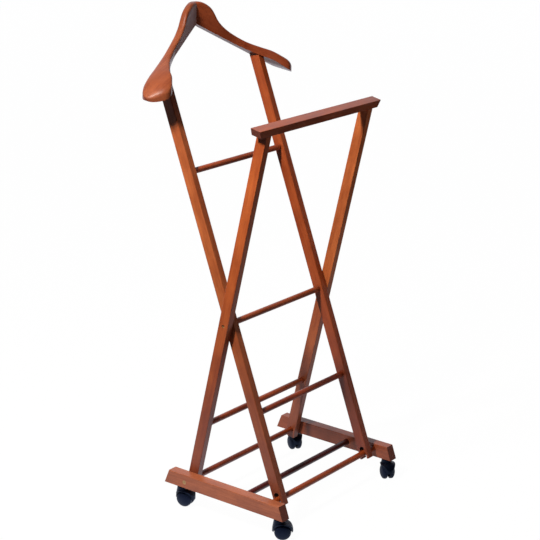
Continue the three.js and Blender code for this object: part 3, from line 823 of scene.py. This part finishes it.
def make_hanger_half(side_name):
    """A carved shoulder: flat below and domed above, tall at the mitre, slim at the neck, broad at the tip"""
    leg_low, leg_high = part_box(side_name + "_hanger_leg")
    leg_x = abs(leg_low[0] + leg_high[0]) / 2
    leg_outer = max(abs(leg_low[0]), abs(leg_high[0]))
    straight = HANGER_REACH - TIP_LENGTH
    places = [MITRE_GAP / 2 + straight * step / HANGER_STATIONS for step in range(HANGER_STATIONS)]
    quarter = 2 * TIP_STATIONS + LAST_STATION_SHORT
    for step in range(TIP_STATIONS + 1):
        places.append(straight + TIP_LENGTH * math.sin(math.pi * step / quarter))
    work = bmesh.new()
    rings = []
    for out in places:
        section = hanger_section(SIDES[side_name], out, leg_x, leg_outer)
        rings.append([work.verts.new(corner) for corner in section])
    count = len(rings[0])
    for inner, outer in zip(rings, rings[1:]):
        for step in range(count):
            following = (step + 1) % count
            work.faces.new((inner[step], inner[following], outer[following], outer[step]))
    work.faces.new(rings[0])
    work.faces.new(rings[-1])
    bmesh.ops.remove_doubles(work, verts=work.verts, dist=SEAM_GAP)
    bmesh.ops.recalc_face_normals(work, faces=work.faces)
    name = side_name + "_shoulder"
    half = side_name + "_hanger_half"
    mesh = bpy.data.meshes.new(name)
    work.to_mesh(mesh)
    work.free()
    piece = link(name, mesh, woods[half])
    shade(piece, SHOULDER_CREASE)
    finish_piece(piece, "hanger_frame", half)


def arch_mesh():
    """The roof of a hood: a barrel with a slight crown, pushed out to a squarer arch"""
    half = HOOD_WIDTH / 2
    profile = [(0, -half)]
    for ring in range(CROWN_RINGS + 1):
        across = 2 * ring / CROWN_RINGS - 1
        profile.append((HOOD_RISE - HOOD_CROWN * across ** 2, half * across))
    profile.append((0, half))
    lay_over = Matrix.Rotation(-math.pi / 2, 4, "X")
    stretch_long = Matrix.Diagonal((HOOD_LENGTH / 2 / HOOD_RISE, 1, 1, 1))
    arch = moved(lathe("arch", profile, TURNED_FACETS), lay_over)
    for corner in arch.vertices:
        reach = math.hypot(corner.co.x, corner.co.z)
        if reach > AXIS_GAP:
            shares = abs(corner.co.x / reach) ** HOOD_SQUARENESS + abs(corner.co.z / reach) ** HOOD_SQUARENESS
            fuller = shares ** (-1 / HOOD_SQUARENESS)
            corner.co.x *= fuller
            corner.co.z *= fuller
    return moved(arch, stretch_long)


def make_hood(caster, frame_matrix, neck_top):
    """An arched hood over both wheels, cut from an oval, with a pocket on each side of the web"""
    oval = rod_mesh("oval", HOOD_WIDTH / 2, (0, 0, -2 * HOOD_RISE), (0, 0, 2 * HOOD_RISE), TURNED_FACETS)
    moved(oval, Matrix.Diagonal((HOOD_LENGTH / HOOD_WIDTH, 1, 1, 1)))
    shell = combine(arch_mesh(), oval, "INTERSECT")
    neck_outline = [(0, 0), (NECK_FOOT, 0), (NECK_FOOT, NECK_FLARE), (NECK_RADIUS, neck_top), (0, neck_top)]
    neck = moved(lathe("neck", neck_outline, TURNED_FACETS), Matrix.Translation((-CASTER_TRAIL, 0, 0)))
    shell = combine(shell, neck, "UNION")
    for side in (-1, 1):
        inside = side * WEB_THICKNESS / 2
        pocket = rod_mesh("pocket", POCKET_RADIUS, (0, inside, 0), (0, side * HOOD_WIDTH, 0), TURNED_FACETS)
        shell = combine(shell, pocket, "DIFFERENCE")
    down_half = Matrix.Translation((0, 0, -HOOD_LENGTH / 2))
    below = block_mesh("below", (CUT_WIDTH, CUT_WIDTH, HOOD_LENGTH), down_half)
    shell = combine(shell, below, "DIFFERENCE")
    boss = rod_mesh("boss", BOSS_RADIUS, (0, -WEB_THICKNESS / 2, 0), (0, WEB_THICKNESS / 2, 0), SCREW_FACETS)
    shell = combine(shell, boss, "UNION")
    seat = (-CASTER_TRAIL, 0, neck_top - STEM_SEAT)
    bore = rod_mesh("bore", STEM_BORE, seat, (-CASTER_TRAIL, 0, neck_top + CUT_OVERRUN), SCREW_FACETS)
    shell = combine(shell, bore, "DIFFERENCE")
    shell = moved(shell, frame_matrix)
    piece = link(caster + "_fork", shell, black_nylon)
    eased(piece, HOOD_EDGE, HOOD_EDGE_SEGMENTS, HOOD_EASED_CREASE)
    shade(piece, HOOD_CREASE)
    finish_piece(piece, caster + "_caster", caster + "_hood")


def make_wheel(caster, word, side, frame_matrix):
    """Half of a twin wheel: a narrow tread near the web, a domed face and a stepped hub"""
    tread = TREAD_ROUND + TREAD_WIDTH
    inner = []
    for step in range(TREAD_STEPS + 1):
        angle = math.pi / 2 * step / TREAD_STEPS
        radius = WHEEL_RADIUS - TREAD_ROUND * (1 - math.sin(angle))
        inner.append((radius, TREAD_ROUND * (1 - math.cos(angle))))
    dome = []
    for step in range(DOME_STEPS + 1):
        angle = math.pi / 2 * step / DOME_STEPS
        dome.append((WHEEL_RADIUS * math.cos(angle), tread + (WHEEL_WIDTH - tread) * math.sin(angle)))
    rim = WHEEL_RADIUS - WHEEL_WALL
    hub = [(0, AXLE_DEPTH), (AXLE_BORE, AXLE_DEPTH), (AXLE_BORE, 0), (HUB_RADIUS, 0),
           (HUB_RADIUS, HOLLOW_DEPTH), (rim, HOLLOW_DEPTH), (rim, 0)]
    profile = hub + inner + dome
    mesh = lathe("wheel", profile, TURNED_FACETS)
    lay_over = Matrix.Rotation(-math.pi / 2 * side, 4, "X")
    outward = Matrix.Translation((0, side * (WEB_THICKNESS / 2 + WHEEL_CLEARANCE), 0))
    moved(mesh, frame_matrix @ outward @ lay_over)
    node = caster + "_" + word + "_wheel"
    piece = link(caster + "_" + word + "_tread", mesh, wheel_nylon)
    shade(piece, WHEEL_CREASE)
    finish_piece(piece, node, node)


def make_caster(caster):
    swivel, _ = joint_of(caster + "_caster_swivel")
    axle, direction = joint_of(caster + "_near_wheel_roll")
    trail = Vector((axle.x - swivel.x, axle.y - swivel.y, 0)).normalized()
    frame_matrix = Matrix.Translation(axle) @ Matrix((trail, direction, (0, 0, 1))).transposed().to_4x4()
    neck_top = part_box(caster + "_hood")[1][2] - axle.z
    make_hood(caster, frame_matrix, neck_top)
    for word, side in (("near", 1), ("far", -1)):
        make_wheel(caster, word, side, frame_matrix)
    refined(caster + "_socket", black_nylon, "base", caster + "_bushing")


def make_floor():
    """A white floor; what the stand gets from it is a pool of light below, a glare and a sweep far behind"""
    material, tree, shader = new_material("pale floor")
    shader.inputs["Base Color"].default_value = (FLOOR_TONE, FLOOR_TONE, FLOOR_TONE, 1)
    shader.inputs["Roughness"].default_value = FLOOR_ROUGHNESS
    shader.inputs["Specular IOR Level"].default_value = FLOOR_SHEEN
    path = tree.nodes.new("ShaderNodeLightPath")
    from_camera = path.outputs["Is Camera Ray"]
    mirrored = path.outputs["Is Glossy Ray"]
    wire(tree, mix_colors(tree, from_camera, POOL_COLOR, WHITE), shader.inputs["Emission Color"])
    place = tree.nodes.new("ShaderNodeTexCoord").outputs["Object"]

    pool = remap(tree, distance_from(tree, place, POOL_MIDDLE), POOL_INNER, POOL_OUTER, 1, 0)
    pool_light = math_node(tree, "MULTIPLY", pool, remap(tree, mirrored, 0, 1, POOL_FILL, POOL_GLOSS))
    glare = remap(tree, distance_from(tree, place, GLARE_MIDDLE), GLARE_INNER, GLARE_OUTER, GLARE_GLOSS, 0)
    sweep = remap(tree, reach_along(tree, place, SWEEP_RUN), SWEEP_START, SWEEP_END, 0, SWEEP_GLOSS)
    glints = math_node(tree, "MULTIPLY", math_node(tree, "ADD", glare, sweep), mirrored)
    glow = math_node(tree, "ADD", pool_light, glints)

    unseen = math_node(tree, "MULTIPLY", glow, math_node(tree, "SUBTRACT", 1, from_camera))
    seen = math_node(tree, "MULTIPLY", from_camera, FLOOR_SEEN)
    wire(tree, math_node(tree, "ADD", seen, unseen), shader.inputs["Emission Strength"])
    work = bmesh.new()
    bmesh.ops.create_circle(work, cap_ends=True, segments=FLOOR_FACETS, radius=FLOOR_RADIUS)
    mesh = bpy.data.meshes.new("floor")
    work.to_mesh(mesh)
    work.free()
    floor = link("floor", mesh, material)


def softbox(name, spot, aim, size, power, color, mirrored=False):
    """A light that brightens the stand, or, mirrored, one that only shines back from its lacquer"""
    light = bpy.data.lights.new(name, "AREA")
    light.shape = "RECTANGLE"
    light.size, light.size_y = size
    light.energy = power
    light.color = color
    holder = bpy.data.objects.new(name, light)
    holder.visible_glossy = mirrored
    holder.visible_diffuse = not mirrored
    holder.matrix_world = turned_to(Vector(spot) - Vector(aim), Vector(spot))
    bpy.context.scene.collection.objects.link(holder)


def light_room():
    """A white backdrop, a room dim in front and light behind, a key from the left and a weak fill"""
    world = bpy.data.worlds.new("room")
    world.use_nodes = True
    tree = world.node_tree
    background = tree.nodes["Background"]
    background.inputs["Color"].default_value = ROOM_COLOR
    direction = tree.nodes.new("ShaderNodeTexCoord").outputs["Generated"]
    behind = reach_along(tree, direction, (math.sin(CAMERA_YAW), math.cos(CAMERA_YAW), 0))
    strength = remap(tree, behind, ROOM_FRONT_ENDS, ROOM_BACK_STARTS, ROOM_FRONT, ROOM_BACK)
    wire(tree, strength, background.inputs["Strength"])
    backdrop = tree.nodes.new("ShaderNodeBackground")
    backdrop.inputs["Color"].default_value = WHITE
    mix = tree.nodes.new("ShaderNodeMixShader")
    path = tree.nodes.new("ShaderNodeLightPath")
    wire(tree, path.outputs["Is Camera Ray"], mix.inputs[0])
    wire(tree, background.outputs[0], mix.inputs[1])
    wire(tree, backdrop.outputs[0], mix.inputs[2])
    wire(tree, mix.outputs[0], tree.nodes["World Output"].inputs["Surface"])
    bpy.context.scene.world = world
    aim = Vector((0, 0, AIM_HEIGHT))
    level = math.cos(KEY_HEIGHT)
    toward = Vector((-level * math.cos(KEY_BEHIND), level * math.sin(KEY_BEHIND), math.sin(KEY_HEIGHT)))
    key_spot = aim + toward * KEY_DISTANCE
    softbox("key softbox", key_spot, aim, KEY_SIZE, KEY_POWER, KEY_COLOR)
    softbox("key glint", key_spot, aim, GLINT_SIZE, GLINT_POWER, KEY_COLOR, True)
    softbox("front softbox", FILL_SPOT, aim, FILL_SIZE, FILL_POWER, FILL_COLOR)
    bpy.context.scene.view_settings.view_transform = "Standard"
    bpy.context.scene.view_settings.look = "None"


place_camera()

LATH_BODIES = {"foot": "base", "trouser_leg": "trouser_frame", "hanger_leg": "hanger_frame"}
for side_name in SIDES:
    for word, body in LATH_BODIES.items():
        lath = side_name + "_" + word
        refined(lath, woods[lath], body, lath + "_lath", EASED_EDGE)
    refined(side_name + "_foot_screw", brass, "trouser_frame", side_name + "_foot_screw_turned")
    refined(side_name + "_crossing_screw", brass, "hanger_frame", side_name + "_crossing_screw_turned")
    refined(side_name + "_foot_washer", black_nylon, "trouser_frame", side_name + "_foot_spacer")
    refined(side_name + "_crossing_washer", black_nylon, "hanger_frame", side_name + "_crossing_spacer")
    make_hanger_half(side_name)
refined("trouser_bar", woods["trouser_bar"], "trouser_frame", "trouser_bar_lath", EASED_EDGE)

RUNG_BODIES = {
    "foot_rung": "base", "hook_rung": "base",
    "rear_shoe_rung": "trouser_frame", "pivot_rung": "trouser_frame",
    "middle_rung": "hanger_frame", "upper_rung": "hanger_frame", "front_shoe_rung": "hanger_frame",
}
for rung, body in RUNG_BODIES.items():
    make_dowel(rung, body)

CASTERS = ("left_front", "right_front", "left_rear", "right_rear")
for caster in CASTERS:
    make_caster(caster)

INSIDE_MATERIALS = {"pin": raw_dowel, "stem": steel, "axle": steel}
for node, holder in frame["nodes"].items():
    word = node.rpartition("_")[2]
    if word in INSIDE_MATERIALS:
        holder.data.materials.clear()
        holder.data.materials.append(INSIDE_MATERIALS[word])

make_floor()
light_room()
